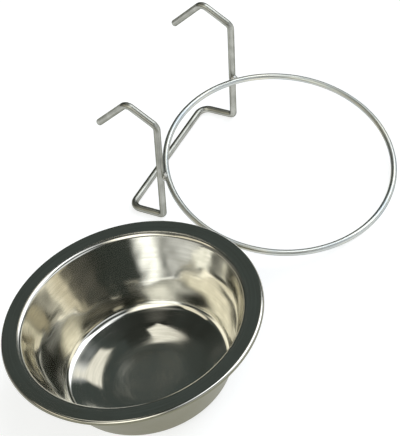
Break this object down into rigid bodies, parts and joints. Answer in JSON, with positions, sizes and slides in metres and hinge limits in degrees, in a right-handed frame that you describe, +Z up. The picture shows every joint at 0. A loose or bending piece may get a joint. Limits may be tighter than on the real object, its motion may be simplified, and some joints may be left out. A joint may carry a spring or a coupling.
{
  "type": "hanging pet bowl",
  "caption": "Round pressed steel bowl with a wide flat rim, lifted out of its welded wire hanger: a ring that holds the rim, and hooks that hang over a cage wall.",
  "frame": {"origin": "centre of the bowl's base, on the surface that the bowl and the hanger stand on", "axes": "+X from the bowl towards the hanger and along the hanger's crossbar, +Y from the ring towards the hooks, +Z up"},
  "size_m": [0.2899, 0.1498, 0.089],
  "materials": {
    "polished_sheet": "mirror-polished stainless sheet",
    "ring_wire": "bright drawn wire",
    "frame_wire": "satin drawn wire",
    "weld_metal": "dull weld bead"
  },
  "bodies": {
    "hanger": {"holder_ring": "ring_wire", "hook_frame": "frame_wire", "weld_left": "weld_metal", "weld_right": "weld_metal"},
    "bowl": {"bowl": "polished_sheet"}
  },
  "joints": [
    {"name": "bowl_lift", "type": "slide", "parent": "hanger", "child": "bowl", "axis": [0, 0, 1], "range_m": [0, 0.1]}
  ]
}
